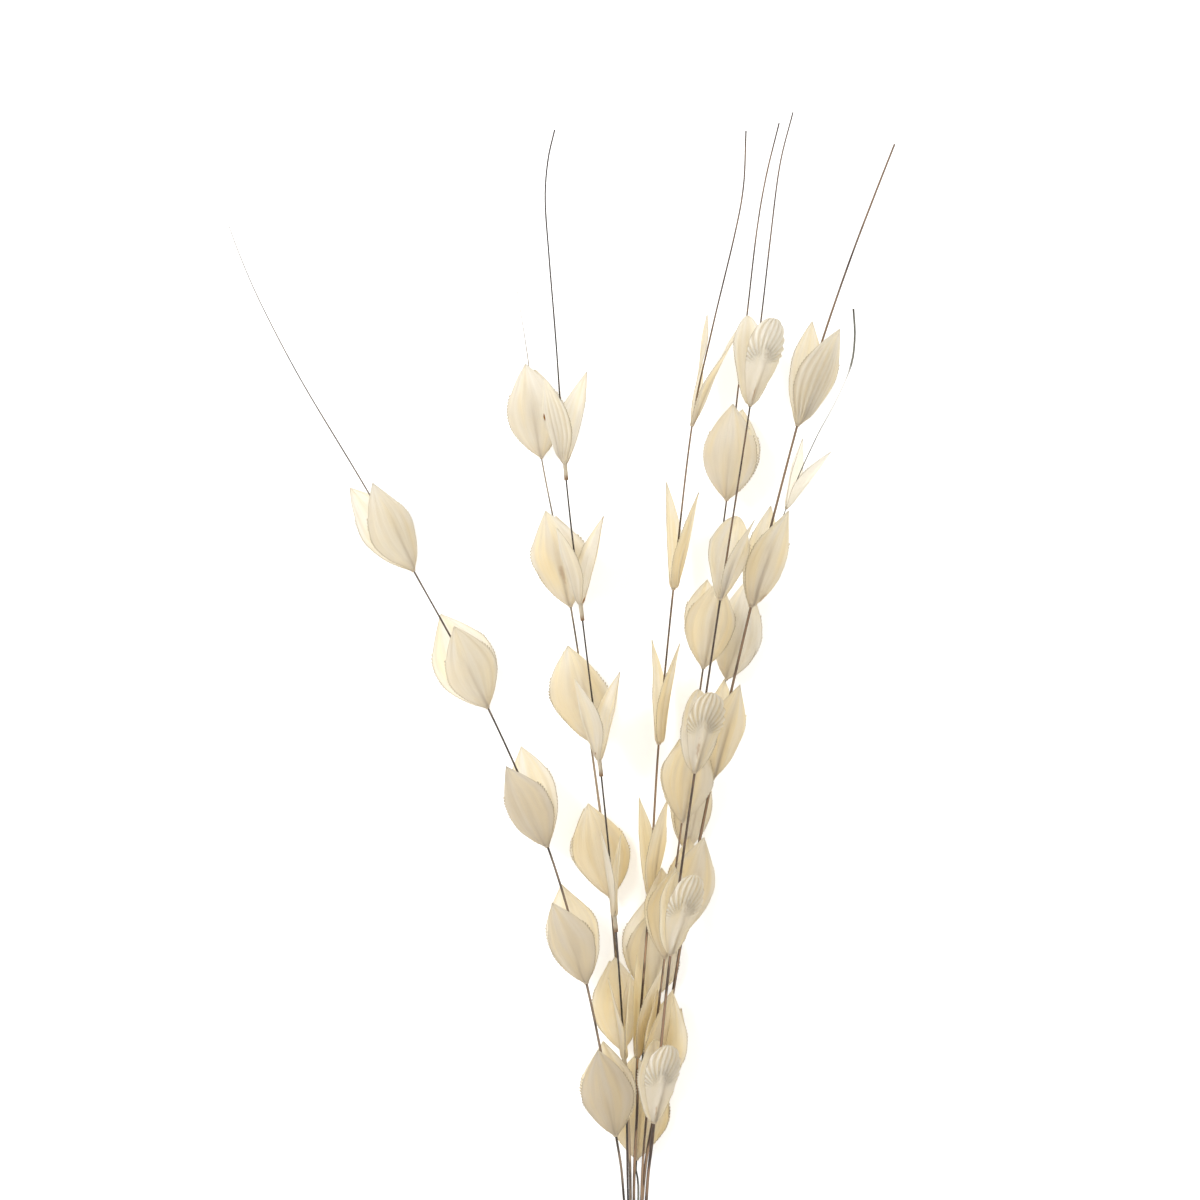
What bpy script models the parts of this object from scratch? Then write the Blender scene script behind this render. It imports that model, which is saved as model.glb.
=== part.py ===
"""A bundle of dried flatpod stems, lying down. Metres, +Z up, cut feet toward -Y.

Eight thin stems fan out from their cut feet. Each one carries five pods, and a pod is a collar
round the stem with two thin, pointed valves that open away from it.
"""

import math
from collections import namedtuple

import bmesh
import bpy
from mathutils import Vector
from mathutils.geometry import interpolate_bezier

# Driving dimensions, in metres.
WALL = 0.0007
GAP = 0.0003
COLLAR = 0.0012
LONG_COLLAR = 0.012
BEND_BELOW = 0.001

# The routes below start near the feet; this puts the middle of the whole bundle over the origin.
BUNDLE_PLACE = Vector((0.0588, -0.470, -0.0001))

# How a valve is divided: strips across each valve, and rows from the collar to the tip.
STRIPS = 3
ROWS = (0.0, 0.12, 0.28, 0.46, 0.65, 0.84, 1.0)

# A pod on its side is pressed flatter than one that stands on edge.
PRESSED = 0.65

# Outline of a valve: half width over length, where it is widest, how full it is, and the angle
# from its middle to its edge as a trough.
Outline = namedtuple("Outline", "width skew fullness trough")
LEAF = Outline(width=0.31, skew=0.95, fullness=1.0, trough=20)
MIDDLING = Outline(width=0.28, skew=0.95, fullness=1.0, trough=16)
NARROW = Outline(width=0.24, skew=0.85, fullness=1.0, trough=10)
FLAT = Outline(width=0.31, skew=0.95, fullness=1.0, trough=9)
SHELL = Outline(width=0.255, skew=1.6, fullness=0.5, trough=45)
THIN = Outline(width=0.21, skew=0.72, fullness=1.0, trough=10)
BLADE = Outline(width=0.18, skew=1.1, fullness=1.0, trough=10)
ROUND = Outline(width=0.27, skew=1.1, fullness=0.6, trough=25)

# A pod: the Y of its base along the stem; how far it is rolled about the stem, how far it leans
# to the right and how far each valve opens, in degrees; the length of its upper and under valve;
# the outline of each; and how far each is twisted further at its tip, in degrees.
Pod = namedtuple(
    "Pod", "base roll lean spread upper under shapes twists", defaults=((LEAF, LEAF), (0, 0))
)

# A stem: its colour, its radius at the foot and at the tip, how slowly it starts to thin, the
# length of its pods' collars, its route and its pods.
Stem = namedtuple("Stem", "colour foot_radius tip_radius taper collar route pods")

MEDIUM = (MIDDLING, MIDDLING)
SLIM = (NARROW, NARROW)
THINNER = (THIN, NARROW)
PRESSED_FLAT = (FLAT, FLAT)
SHELLED = (SHELL, ROUND)

# Each route is a list of places that the stem passes through, from its foot to its tip.
# Each list of pods runs down from the one nearest the tip.
STEMS = {
    1: Stem(
        "olive_stem",
        0.00095,
        0.00025,
        2.2,
        COLLAR,
        [
            (-0.0045, 0.003, 0.0068), (-0.012, 0.128, 0.040), (-0.018, 0.178, 0.052),
            (-0.040, 0.291, 0.045), (-0.069, 0.392, 0.032), (-0.114, 0.496, 0.024),
            (-0.170, 0.599, 0.019), (-0.210, 0.668, 0.020), (-0.255, 0.743, 0.020),
            (-0.285, 0.800, 0.018), (-0.301, 0.836, 0.015), (-0.310, 0.860, 0.013),
        ],
        [
            Pod(0.599, 40, -1, 10, 0.072, 0.078),
            Pod(0.496, 14, 4, 10, 0.065, 0.079),
            Pod(0.392, -33, 2, 11, 0.067, 0.077),
            Pod(0.291, -28, -3, 9, 0.064, 0.076),
            Pod(0.178, -14, 1, 8, 0.065, 0.070),
        ],
    ),
    2: Stem(
        "tan_stem",
        0.0011,
        0.00015,
        2.2,
        COLLAR,
        [
            (-0.0065, -0.001, 0.0013), (-0.007, 0.128, 0.012), (-0.009, 0.188, 0.0195),
            (-0.013, 0.238, 0.0195), (-0.022, 0.353, 0.014), (-0.037, 0.470, 0.014),
            (-0.052, 0.572, 0.015), (-0.074, 0.684, 0.014), (-0.084, 0.757, 0.014),
            (-0.091, 0.802, 0.013), (-0.099, 0.848, 0.011),
        ],
        [
            Pod(0.684, -12, 1, 12, 0.071, 0.067),
            Pod(0.572, -20, -1, 8, 0.074, 0.069),
            Pod(0.470, 12, -7, 8, 0.074, 0.070),
            Pod(0.353, 12, -8, 8, 0.072, 0.068),
            Pod(0.238, 12, -2, 8, 0.070, 0.067, MEDIUM),
        ],
    ),
    3: Stem(
        "black_stem",
        0.0009,
        0.00055,
        0.5,
        LONG_COLLAR,
        [
            (-0.0055, 0.004, 0.0040), (-0.009, 0.128, 0.030), (-0.010, 0.188, 0.041),
            (-0.011, 0.223, 0.045), (-0.018, 0.330, 0.049), (-0.029, 0.446, 0.047),
            (-0.043, 0.562, 0.046), (-0.055, 0.665, 0.046), (-0.063, 0.772, 0.044),
            (-0.068, 0.833, 0.040), (-0.071, 0.877, 0.036), (-0.069, 0.907, 0.033),
            (-0.064, 0.930, 0.031),
        ],
        [
            Pod(0.667, -63, 4, 15, 0.066, 0.068),
            Pod(0.562, -70, 5, 17, 0.059, 0.064),
            Pod(0.446, -70, 5, 16, 0.063, 0.064),
            Pod(0.330, -82, 3, 7, 0.065, 0.060, SLIM),
            Pod(0.223, -84, 0, 8, 0.062, 0.066, SLIM),
        ],
    ),
    4: Stem(
        "brown_stem",
        0.0013,
        0.00055,
        0.6,
        COLLAR,
        [
            (-0.002, 0.002, 0.0042), (-0.0045, 0.128, 0.023), (-0.002, 0.202, 0.036),
            (-0.002, 0.235, 0.0395), (0.007, 0.355, 0.036), (0.014, 0.469, 0.028),
            (0.025, 0.585, 0.026), (0.039, 0.708, 0.027), (0.054, 0.780, 0.026),
            (0.071, 0.851, 0.022), (0.078, 0.889, 0.019), (0.080, 0.931, 0.016),
        ],
        [
            Pod(0.708, 55, 5, 10, 0.083, 0.083, (BLADE, BLADE), (55, 55)),
            Pod(0.585, 72, -1, 10, 0.074, 0.079, THINNER),
            Pod(0.469, 74, -1, 8, 0.076, 0.077, THINNER),
            Pod(0.355, 68, -1, 9, 0.074, 0.073, SLIM),
            Pod(0.235, 72, 4, 9, 0.075, 0.076, SLIM),
        ],
    ),
    5: Stem(
        "brown_stem",
        0.0011,
        0.00055,
        0.5,
        COLLAR,
        [
            (0.0015, -0.002, 0.0045), (0.001, 0.128, 0.026), (0.007, 0.215, 0.042),
            (0.018, 0.310, 0.049), (0.031, 0.411, 0.044), (0.047, 0.526, 0.040),
            (0.065, 0.652, 0.025), (0.073, 0.728, 0.020), (0.081, 0.795, 0.019),
            (0.088, 0.855, 0.018), (0.095, 0.896, 0.017), (0.105, 0.937, 0.015),
        ],
        [
            Pod(0.652, -16, 1, 13, 0.071, 0.070),
            Pod(0.526, 22, -1, 11, 0.066, 0.067),
            Pod(0.411, 25, -4, 11, 0.069, 0.061),
            Pod(0.310, 30, -5, 8, 0.068, 0.066, MEDIUM),
            Pod(0.215, 65, 2, 5, 0.073, 0.071, SLIM),
        ],
    ),
    6: Stem(
        "dark_stem",
        0.0014,
        0.0005,
        0.7,
        COLLAR,
        [
            (0.001, 0.005, 0.0095), (0.0045, 0.128, 0.044), (0.010, 0.189, 0.061),
            (0.022, 0.314, 0.068), (0.040, 0.449, 0.068), (0.059, 0.577, 0.064),
            (0.082, 0.722, 0.042), (0.091, 0.791, 0.036), (0.098, 0.851, 0.032),
            (0.105, 0.904, 0.028), (0.115, 0.944, 0.024),
        ],
        [
            Pod(0.722, 38, 0, 13, 0.066, 0.068, SHELLED),
            Pod(0.577, 55, 5, 10, 0.063, 0.065, (BLADE, ROUND), (28, -45)),
            Pod(0.449, 32, -1, 8, 0.060, 0.061, SHELLED),
            Pod(0.314, 38, 3, 9, 0.061, 0.061, SHELLED),
            Pod(0.189, 34, 0, 8, 0.059, 0.061, SHELLED),
        ],
    ),
    7: Stem(
        "brown_stem",
        0.0014,
        0.0007,
        1,
        COLLAR,
        [
            (0.0, -0.004, 0.0015), (0.002, 0.128, 0.014), (0.014, 0.210, 0.0235),
            (0.032, 0.326, 0.020), (0.054, 0.443, 0.029), (0.083, 0.572, 0.033),
            (0.118, 0.708, 0.026), (0.137, 0.772, 0.022), (0.158, 0.833, 0.020),
            (0.177, 0.883, 0.018), (0.192, 0.921, 0.016),
        ],
        [
            Pod(0.708, 52, -1, 10, 0.078, 0.079),
            Pod(0.572, 40, 2, 8, 0.076, 0.077, SLIM),
            Pod(0.443, 42, -1, 7, 0.073, 0.074, MEDIUM),
            Pod(0.326, 35, -3, 7, 0.075, 0.072, MEDIUM),
            Pod(0.210, -28, 3, 9, 0.074, 0.061, SLIM),
        ],
    ),
    8: Stem(
        "olive_stem",
        0.0011,
        0.0003,
        0.5,
        COLLAR,
        [
            (-0.0035, 0.002, 0.0014), (-0.001, 0.128, 0.0050), (-0.0025, 0.154, 0.0058),
            (0.007, 0.275, 0.011), (0.034, 0.389, 0.014), (0.065, 0.517, 0.014),
            (0.110, 0.646, 0.017), (0.131, 0.696, 0.018), (0.148, 0.728, 0.018),
            (0.159, 0.754, 0.017), (0.162, 0.776, 0.016), (0.161, 0.797, 0.015),
        ],
        [
            Pod(0.646, 75, 3, 13, 0.052, 0.053),
            Pod(0.517, -16, -5, 9, 0.077, 0.067, SLIM),
            Pod(0.389, 30, -8, 12, 0.067, 0.069, SLIM),
            Pod(0.275, 5, -13, 6, 0.066, 0.075),
            Pod(0.154, -4, -5, 5, 0.079, 0.078, PRESSED_FLAT),
        ],
    ),
}

COLOURS = {
    "olive_stem": (0.19, 0.15, 0.09),
    "tan_stem": (0.33, 0.23, 0.13),
    "black_stem": (0.035, 0.025, 0.022),
    "brown_stem": (0.17, 0.10, 0.055),
    "dark_stem": (0.075, 0.048, 0.032),
    "pale_pod": (0.80, 0.74, 0.60),
}


def clear_scene():
    for item in list(bpy.data.objects):
        bpy.data.objects.remove(item, do_unlink=True)


def make_materials():
    """One dry, dull material for each colour."""
    made = {}
    for name, colour in COLOURS.items():
        made[name] = bpy.data.materials.new(name)
        made[name].use_nodes = True
        shader = made[name].node_tree.nodes["Principled BSDF"]
        shader.inputs["Base Color"].default_value = (*colour, 1.0)
        shader.inputs["Roughness"].default_value = 0.7
        shader.inputs["Metallic"].default_value = 0.0
    return made


def smooth_path(route):
    """Many points of the smooth curve through a stem's route."""
    places = [Vector(place) for place in route]
    before = [2 * places[0] - places[1], *places]
    after = [*places, 2 * places[-1] - places[-2]]
    path = [places[0]]
    for index in range(len(places) - 1):
        start, end = places[index], places[index + 1]
        leaving = start + (end - before[index]) / 6
        arriving = end - (after[index + 2] - start) / 6
        path += interpolate_bezier(start, leaving, arriving, end, 17)[1:]
    return path


def place_at(path, level):
    """Where a path crosses Y = level, and its direction there."""
    for low, high in zip(path, path[1:]):
        if level <= high.y:
            break
    share = (level - low.y) / (high.y - low.y)
    return low.lerp(high, share), (high - low).normalized()


def stem_points(stem):
    """The corners of a stem: its foot, one just below each pod and others on its bare ends."""
    path = smooth_path(stem.route)
    foot, tip = path[0].y, path[-1].y
    bases = [pod.base - BEND_BELOW for pod in reversed(stem.pods)]
    levels = [foot, foot + 0.55 * (bases[0] - foot), *bases]
    levels += [bases[-1] + share * (tip - bases[-1]) for share in (0.33, 0.67, 1.0)]
    return [place_at(path, level)[0] for level in levels]


def stem_radius(stem, level):
    """A high taper keeps a stem thick for most of its length, and a low one thins it early."""
    foot, tip = stem.route[0][1], stem.route[-1][1]
    share = min(1.0, max(0.0, (level - foot) / (tip - foot)))
    return stem.tip_radius + (stem.foot_radius - stem.tip_radius) * (1 - share**stem.taper)


def make_stem(number, stem, bundle, materials):
    """A tapering eight-sided stick with closed ends."""
    points = stem_points(stem)
    curve = bpy.data.curves.new(f"stem_{number}", "CURVE")
    curve.dimensions = "3D"
    curve.bevel_depth = 1.0
    curve.bevel_resolution = 2
    curve.use_fill_caps = True
    spline = curve.splines.new("POLY")
    spline.points.add(len(points) - 1)
    for corner, point in zip(spline.points, points):
        corner.co = (*(point - points[0]), 1.0)
        corner.radius = stem_radius(stem, point.y)
    curve.materials.append(materials[stem.colour])
    stick = bpy.data.objects.new(f"stem_{number}", curve)
    stick.location = points[0]
    stick.parent = bundle
    bpy.context.collection.objects.link(stick)


def half_width(outline, length, ring, share):
    """Half the width of a valve, which starts as wide as the collar."""
    leaf = math.sin(math.pi * share**outline.skew) if 0 < share < 1 else 0.0
    return outline.width * length * leaf**outline.fullness + ring * (1 - share) ** 4


def valve_point(pod, side, ring, across, share):
    """A point in the middle of a valve's wall.

    side is 1 for the upper valve and -1 for the under one, across runs from -1 to 1 from edge to
    edge, and share runs from 0 at the collar to 1 at the tip. +Y is along the stem.
    """
    length = pod.upper if side > 0 else pod.under
    outline = pod.shapes[0] if side > 0 else pod.shapes[1]
    roll = math.radians(pod.roll + share * (pod.twists[0] if side > 0 else pod.twists[1]))
    turn = math.radians(pod.lean + side * pod.spread * math.sin(roll))
    rise = math.radians(side * pod.spread * math.cos(roll) * PRESSED)
    opened = 0.6 * share + 0.4 * share**2
    middle = length * Vector((math.tan(turn) * opened, share, math.tan(rise) * opened))
    outward = side * Vector((math.sin(roll), 0, math.cos(roll)))
    sideways = Vector((math.cos(roll), 0, -math.sin(roll)))
    round_left = math.exp(-share / 0.08)
    trough = math.radians(outline.trough + (90 - outline.trough) * round_left)
    radius = half_width(outline, length, ring, share) / math.sin(trough)
    along_arc = sideways * math.sin(trough * across)
    out_of_arc = outward * (math.cos(trough * across) - math.cos(trough))
    return middle + radius * (along_arc + out_of_arc)


def grow(sheet, edges, station, place):
    """Extrudes a row of edges and puts each new corner where place says."""
    made = bmesh.ops.extrude_edge_only(sheet, edges=edges)["geom"]
    for corner in made:
        if isinstance(corner, bmesh.types.BMVert):
            corner.co = place(corner[station])
    return [edge for edge in made if isinstance(edge, bmesh.types.BMEdge)]


def pod_mesh(name, pod, collar, ring):
    """A collar and two valves as one open sheet, in the pod's own frame: +Y is along the stem."""
    sheet = bmesh.new()
    station = sheet.verts.layers.int.new("station")
    corners = bmesh.ops.create_circle(sheet, segments=2 * STRIPS, radius=ring)["verts"]
    for index, corner in enumerate(corners):
        corner[station] = index

    def across(index):
        """Stations run over the upper valve from edge to edge and back under the lower one."""
        return 1 - 2 * index / STRIPS if index <= STRIPS else 2 * index / STRIPS - 3

    def on_collar(index):
        side = 1 if index <= STRIPS else -1
        return valve_point(pod, side, ring, across(index), 0.0)

    for corner in corners:
        corner.co = on_collar(corner[station])
    rim = grow(
        sheet, list(sheet.edges), station, lambda index: on_collar(index) + Vector((0, collar, 0))
    )
    for side in (1, -1):
        own = [0, *range(STRIPS, 2 * STRIPS)] if side < 0 else list(range(STRIPS + 1))
        row = [edge for edge in rim if all(corner[station] in own for corner in edge.verts)]
        for share in ROWS[1:]:
            row = grow(
                sheet,
                row,
                station,
                lambda index: valve_point(pod, side, ring, across(index), share)
                + Vector((0, collar, 0)),
            )
        tip = {corner for edge in row for corner in edge.verts}
        bmesh.ops.pointmerge(sheet, verts=list(tip), merge_co=next(iter(tip)).co)
    bmesh.ops.recalc_face_normals(sheet, faces=sheet.faces)
    mesh = bpy.data.meshes.new(name)
    sheet.to_mesh(mesh)
    sheet.free()
    return mesh


def make_pod(name, pod, stem, bundle, materials):
    """Puts a pod round its stem and gives its walls their thickness."""
    place, direction = place_at(stem_points(stem), pod.base)
    bore = (stem_radius(stem, pod.base) + GAP) / math.cos(math.pi / (2 * STRIPS))
    mesh = pod_mesh(name, pod, stem.collar, bore + WALL / 2)
    mesh.materials.append(materials["pale_pod"])
    case = bpy.data.objects.new(name, mesh)
    case.location = place
    case.rotation_euler = (math.asin(direction.z), 0, -math.atan2(direction.x, direction.y))
    case.parent = bundle
    bpy.context.collection.objects.link(case)
    walls = case.modifiers.new("walls", "SOLIDIFY")
    walls.thickness = WALL
    walls.offset = 0.0


def main():
    clear_scene()
    materials = make_materials()
    bundle = bpy.data.objects.new("bundle", None)
    bundle.location = BUNDLE_PLACE
    bpy.context.collection.objects.link(bundle)
    for number, stem in STEMS.items():
        make_stem(number, stem, bundle, materials)
        for letter, pod in zip("abcde", stem.pods):
            make_pod(f"pod_{number}{letter}", pod, stem, bundle, materials)


main()
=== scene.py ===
# %% [markdown]
# # A bundle of dried flatpod stems
# Eight thin, dark sticks fan out from their cut feet and carry five pale, papery pods each. The
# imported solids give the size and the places, and every one of them is replaced here by a finer
# piece in the same place.

import math
from collections import namedtuple

import bmesh
import bpy
from mathutils import Matrix, Vector, noise
from mathutils.geometry import interpolate_bezier


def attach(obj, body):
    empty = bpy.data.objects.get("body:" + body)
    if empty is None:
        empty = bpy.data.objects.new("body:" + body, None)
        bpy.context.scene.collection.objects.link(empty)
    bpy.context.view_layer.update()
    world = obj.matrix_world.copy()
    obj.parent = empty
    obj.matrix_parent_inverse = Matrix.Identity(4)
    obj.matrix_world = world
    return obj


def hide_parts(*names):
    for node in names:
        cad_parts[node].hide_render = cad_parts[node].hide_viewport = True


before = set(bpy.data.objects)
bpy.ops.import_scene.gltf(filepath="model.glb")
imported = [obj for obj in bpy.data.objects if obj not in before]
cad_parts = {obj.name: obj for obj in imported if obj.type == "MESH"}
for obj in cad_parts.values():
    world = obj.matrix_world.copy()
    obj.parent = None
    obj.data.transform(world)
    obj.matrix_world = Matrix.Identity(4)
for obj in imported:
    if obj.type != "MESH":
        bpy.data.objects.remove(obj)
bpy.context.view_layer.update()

# %% [markdown]
# ## The plan of the bundle
# The plan is the one that the solids were made from: the route of each stem from its cut foot to
# its tip, and for each pod its place on the stem, its roll about the stem, how far it leans and
# opens, and the length and outline of its two valves. It could be measured back from the solids,
# but their few flat strips would lose the curves, so it is stated again.

# %% The plan
# In metres: the two lengths of collar, and how far below each pod its solid stem bends.
COLLAR = 0.0012
LONG_COLLAR = 0.012
BEND_BELOW = 0.001

# A pod on its side is pressed flatter than one that stands on edge.
PRESSED = 0.65

# The routes below start near the feet; this puts the middle of the whole bundle over the origin.
BUNDLE_PLACE = Vector((0.0588, -0.470, -0.0001))

# Outline of a valve: half width over length, where it is widest, how full it is, and the angle
# from its middle to its edge as a trough.
Outline = namedtuple("Outline", "width skew fullness trough")
LEAF = Outline(width=0.31, skew=0.95, fullness=1.0, trough=20)
MIDDLING = Outline(width=0.28, skew=0.95, fullness=1.0, trough=16)
NARROW = Outline(width=0.24, skew=0.85, fullness=1.0, trough=10)
FLAT = Outline(width=0.31, skew=0.95, fullness=1.0, trough=9)
SHELL = Outline(width=0.255, skew=1.6, fullness=0.5, trough=45)
THIN = Outline(width=0.21, skew=0.72, fullness=1.0, trough=10)
BLADE = Outline(width=0.18, skew=1.1, fullness=1.0, trough=10)
ROUND = Outline(width=0.27, skew=1.1, fullness=0.6, trough=25)

# A pod: the Y of its base along the stem; how far it is rolled about the stem, how far it leans
# to the right and how far each valve opens, in degrees; the length of its upper and under valve;
# the outline of each; and how far each is twisted further at its tip, in degrees.
Pod = namedtuple(
    "Pod", "base roll lean spread upper under shapes twists", defaults=((LEAF, LEAF), (0, 0))
)

# A stem: its colour, its radius at the foot and at the tip, how slowly it starts to thin, the
# length of its pods' collars, its route and its pods.
Stem = namedtuple("Stem", "colour foot_radius tip_radius taper collar route pods")

MEDIUM = (MIDDLING, MIDDLING)
SLIM = (NARROW, NARROW)
THINNER = (THIN, NARROW)
PRESSED_FLAT = (FLAT, FLAT)
SHELLED = (SHELL, ROUND)

# Each route is a list of places that the stem passes through, from its foot to its tip.
# Each list of pods runs down from the one nearest the tip.
STEMS = {
    1: Stem(
        "olive_stem",
        0.00095,
        0.00025,
        2.2,
        COLLAR,
        [
            (-0.0045, 0.003, 0.0068), (-0.012, 0.128, 0.040), (-0.018, 0.178, 0.052),
            (-0.040, 0.291, 0.045), (-0.069, 0.392, 0.032), (-0.114, 0.496, 0.024),
            (-0.170, 0.599, 0.019), (-0.210, 0.668, 0.020), (-0.255, 0.743, 0.020),
            (-0.285, 0.800, 0.018), (-0.301, 0.836, 0.015), (-0.310, 0.860, 0.013),
        ],
        [
            Pod(0.599, 40, -1, 10, 0.072, 0.078),
            Pod(0.496, 14, 4, 10, 0.065, 0.079),
            Pod(0.392, -33, 2, 11, 0.067, 0.077),
            Pod(0.291, -28, -3, 9, 0.064, 0.076),
            Pod(0.178, -14, 1, 8, 0.065, 0.070),
        ],
    ),
    2: Stem(
        "tan_stem",
        0.0011,
        0.00015,
        2.2,
        COLLAR,
        [
            (-0.0065, -0.001, 0.0013), (-0.007, 0.128, 0.012), (-0.009, 0.188, 0.0195),
            (-0.013, 0.238, 0.0195), (-0.022, 0.353, 0.014), (-0.037, 0.470, 0.014),
            (-0.052, 0.572, 0.015), (-0.074, 0.684, 0.014), (-0.084, 0.757, 0.014),
            (-0.091, 0.802, 0.013), (-0.099, 0.848, 0.011),
        ],
        [
            Pod(0.684, -12, 1, 12, 0.071, 0.067),
            Pod(0.572, -20, -1, 8, 0.074, 0.069),
            Pod(0.470, 12, -7, 8, 0.074, 0.070),
            Pod(0.353, 12, -8, 8, 0.072, 0.068),
            Pod(0.238, 12, -2, 8, 0.070, 0.067, MEDIUM),
        ],
    ),
    3: Stem(
        "black_stem",
        0.0009,
        0.00055,
        0.5,
        LONG_COLLAR,
        [
            (-0.0055, 0.004, 0.0040), (-0.009, 0.128, 0.030), (-0.010, 0.188, 0.041),
            (-0.011, 0.223, 0.045), (-0.018, 0.330, 0.049), (-0.029, 0.446, 0.047),
            (-0.043, 0.562, 0.046), (-0.055, 0.665, 0.046), (-0.063, 0.772, 0.044),
            (-0.068, 0.833, 0.040), (-0.071, 0.877, 0.036), (-0.069, 0.907, 0.033),
            (-0.064, 0.930, 0.031),
        ],
        [
            Pod(0.667, -63, 4, 15, 0.066, 0.068),
            Pod(0.562, -70, 5, 17, 0.059, 0.064),
            Pod(0.446, -70, 5, 16, 0.063, 0.064),
            Pod(0.330, -82, 3, 7, 0.065, 0.060, SLIM),
            Pod(0.223, -84, 0, 8, 0.062, 0.066, SLIM),
        ],
    ),
    4: Stem(
        "brown_stem",
        0.0013,
        0.00055,
        0.6,
        COLLAR,
        [
            (-0.002, 0.002, 0.0042), (-0.0045, 0.128, 0.023), (-0.002, 0.202, 0.036),
            (-0.002, 0.235, 0.0395), (0.007, 0.355, 0.036), (0.014, 0.469, 0.028),
            (0.025, 0.585, 0.026), (0.039, 0.708, 0.027), (0.054, 0.780, 0.026),
            (0.071, 0.851, 0.022), (0.078, 0.889, 0.019), (0.080, 0.931, 0.016),
        ],
        [
            Pod(0.708, 55, 5, 10, 0.083, 0.083, (BLADE, BLADE), (55, 55)),
            Pod(0.585, 72, -1, 10, 0.074, 0.079, THINNER),
            Pod(0.469, 74, -1, 8, 0.076, 0.077, THINNER),
            Pod(0.355, 68, -1, 9, 0.074, 0.073, SLIM),
            Pod(0.235, 72, 4, 9, 0.075, 0.076, SLIM),
        ],
    ),
    5: Stem(
        "brown_stem",
        0.0011,
        0.00055,
        0.5,
        COLLAR,
        [
            (0.0015, -0.002, 0.0045), (0.001, 0.128, 0.026), (0.007, 0.215, 0.042),
            (0.018, 0.310, 0.049), (0.031, 0.411, 0.044), (0.047, 0.526, 0.040),
            (0.065, 0.652, 0.025), (0.073, 0.728, 0.020), (0.081, 0.795, 0.019),
            (0.088, 0.855, 0.018), (0.095, 0.896, 0.017), (0.105, 0.937, 0.015),
        ],
        [
            Pod(0.652, -16, 1, 13, 0.071, 0.070),
            Pod(0.526, 22, -1, 11, 0.066, 0.067),
            Pod(0.411, 25, -4, 11, 0.069, 0.061),
            Pod(0.310, 30, -5, 8, 0.068, 0.066, MEDIUM),
            Pod(0.215, 65, 2, 5, 0.073, 0.071, SLIM),
        ],
    ),
    6: Stem(
        "dark_stem",
        0.0014,
        0.0005,
        0.7,
        COLLAR,
        [
            (0.001, 0.005, 0.0095), (0.0045, 0.128, 0.044), (0.010, 0.189, 0.061),
            (0.022, 0.314, 0.068), (0.040, 0.449, 0.068), (0.059, 0.577, 0.064),
            (0.082, 0.722, 0.042), (0.091, 0.791, 0.036), (0.098, 0.851, 0.032),
            (0.105, 0.904, 0.028), (0.115, 0.944, 0.024),
        ],
        [
            Pod(0.722, 38, 0, 13, 0.066, 0.068, SHELLED),
            Pod(0.577, 55, 5, 10, 0.063, 0.065, (BLADE, ROUND), (28, -45)),
            Pod(0.449, 32, -1, 8, 0.060, 0.061, SHELLED),
            Pod(0.314, 38, 3, 9, 0.061, 0.061, SHELLED),
            Pod(0.189, 34, 0, 8, 0.059, 0.061, SHELLED),
        ],
    ),
    7: Stem(
        "brown_stem",
        0.0014,
        0.0007,
        1,
        COLLAR,
        [
            (0.0, -0.004, 0.0015), (0.002, 0.128, 0.014), (0.014, 0.210, 0.0235),
            (0.032, 0.326, 0.020), (0.054, 0.443, 0.029), (0.083, 0.572, 0.033),
            (0.118, 0.708, 0.026), (0.137, 0.772, 0.022), (0.158, 0.833, 0.020),
            (0.177, 0.883, 0.018), (0.192, 0.921, 0.016),
        ],
        [
            Pod(0.708, 52, -1, 10, 0.078, 0.079),
            Pod(0.572, 40, 2, 8, 0.076, 0.077, SLIM),
            Pod(0.443, 42, -1, 7, 0.073, 0.074, MEDIUM),
            Pod(0.326, 35, -3, 7, 0.075, 0.072, MEDIUM),
            Pod(0.210, -28, 3, 9, 0.074, 0.061, SLIM),
        ],
    ),
    8: Stem(
        "olive_stem",
        0.0011,
        0.0003,
        0.5,
        COLLAR,
        [
            (-0.0035, 0.002, 0.0014), (-0.001, 0.128, 0.0050), (-0.0025, 0.154, 0.0058),
            (0.007, 0.275, 0.011), (0.034, 0.389, 0.014), (0.065, 0.517, 0.014),
            (0.110, 0.646, 0.017), (0.131, 0.696, 0.018), (0.148, 0.728, 0.018),
            (0.159, 0.754, 0.017), (0.162, 0.776, 0.016), (0.161, 0.797, 0.015),
        ],
        [
            Pod(0.646, 75, 3, 13, 0.052, 0.053),
            Pod(0.517, -16, -5, 9, 0.077, 0.067, SLIM),
            Pod(0.389, 30, -8, 12, 0.067, 0.069, SLIM),
            Pod(0.275, 5, -13, 6, 0.066, 0.075),
            Pod(0.154, -4, -5, 5, 0.079, 0.078, PRESSED_FLAT),
        ],
    ),
}

print(len(STEMS), "stems and", sum(len(stem.pods) for stem in STEMS.values()), "pods")

# %% [markdown]
# ## Camera, floor and light
# The bundle lies down, so the camera looks straight down on it, with the bare feet running out of
# the bottom of the view. The husks are thin enough to glow, and they are seen against white, so
# the floor is a white surface that gives off some light of its own, like a light table, under a
# broad soft light. A plain white floor lit only from above would leave the undersides grey.

# %% Camera, floor and light
VIEW_WIDTH = 0.9
CAMERA_HEIGHT = 3.0
SENSOR = 0.036
VIEW_CENTRE = BUNDLE_PLACE + Vector((-0.030, 0.5775, 0.030))
FLOOR_SIZE = 60.0
FLOOR_GLOW = 0.34
LAMP_WIDTH = 1.2
LAMP_POWER = 48
LAMP_PLACE = Vector((-1.6, 1.2, 2.4))
SURROUNDING_LIGHT = 0.92


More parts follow.
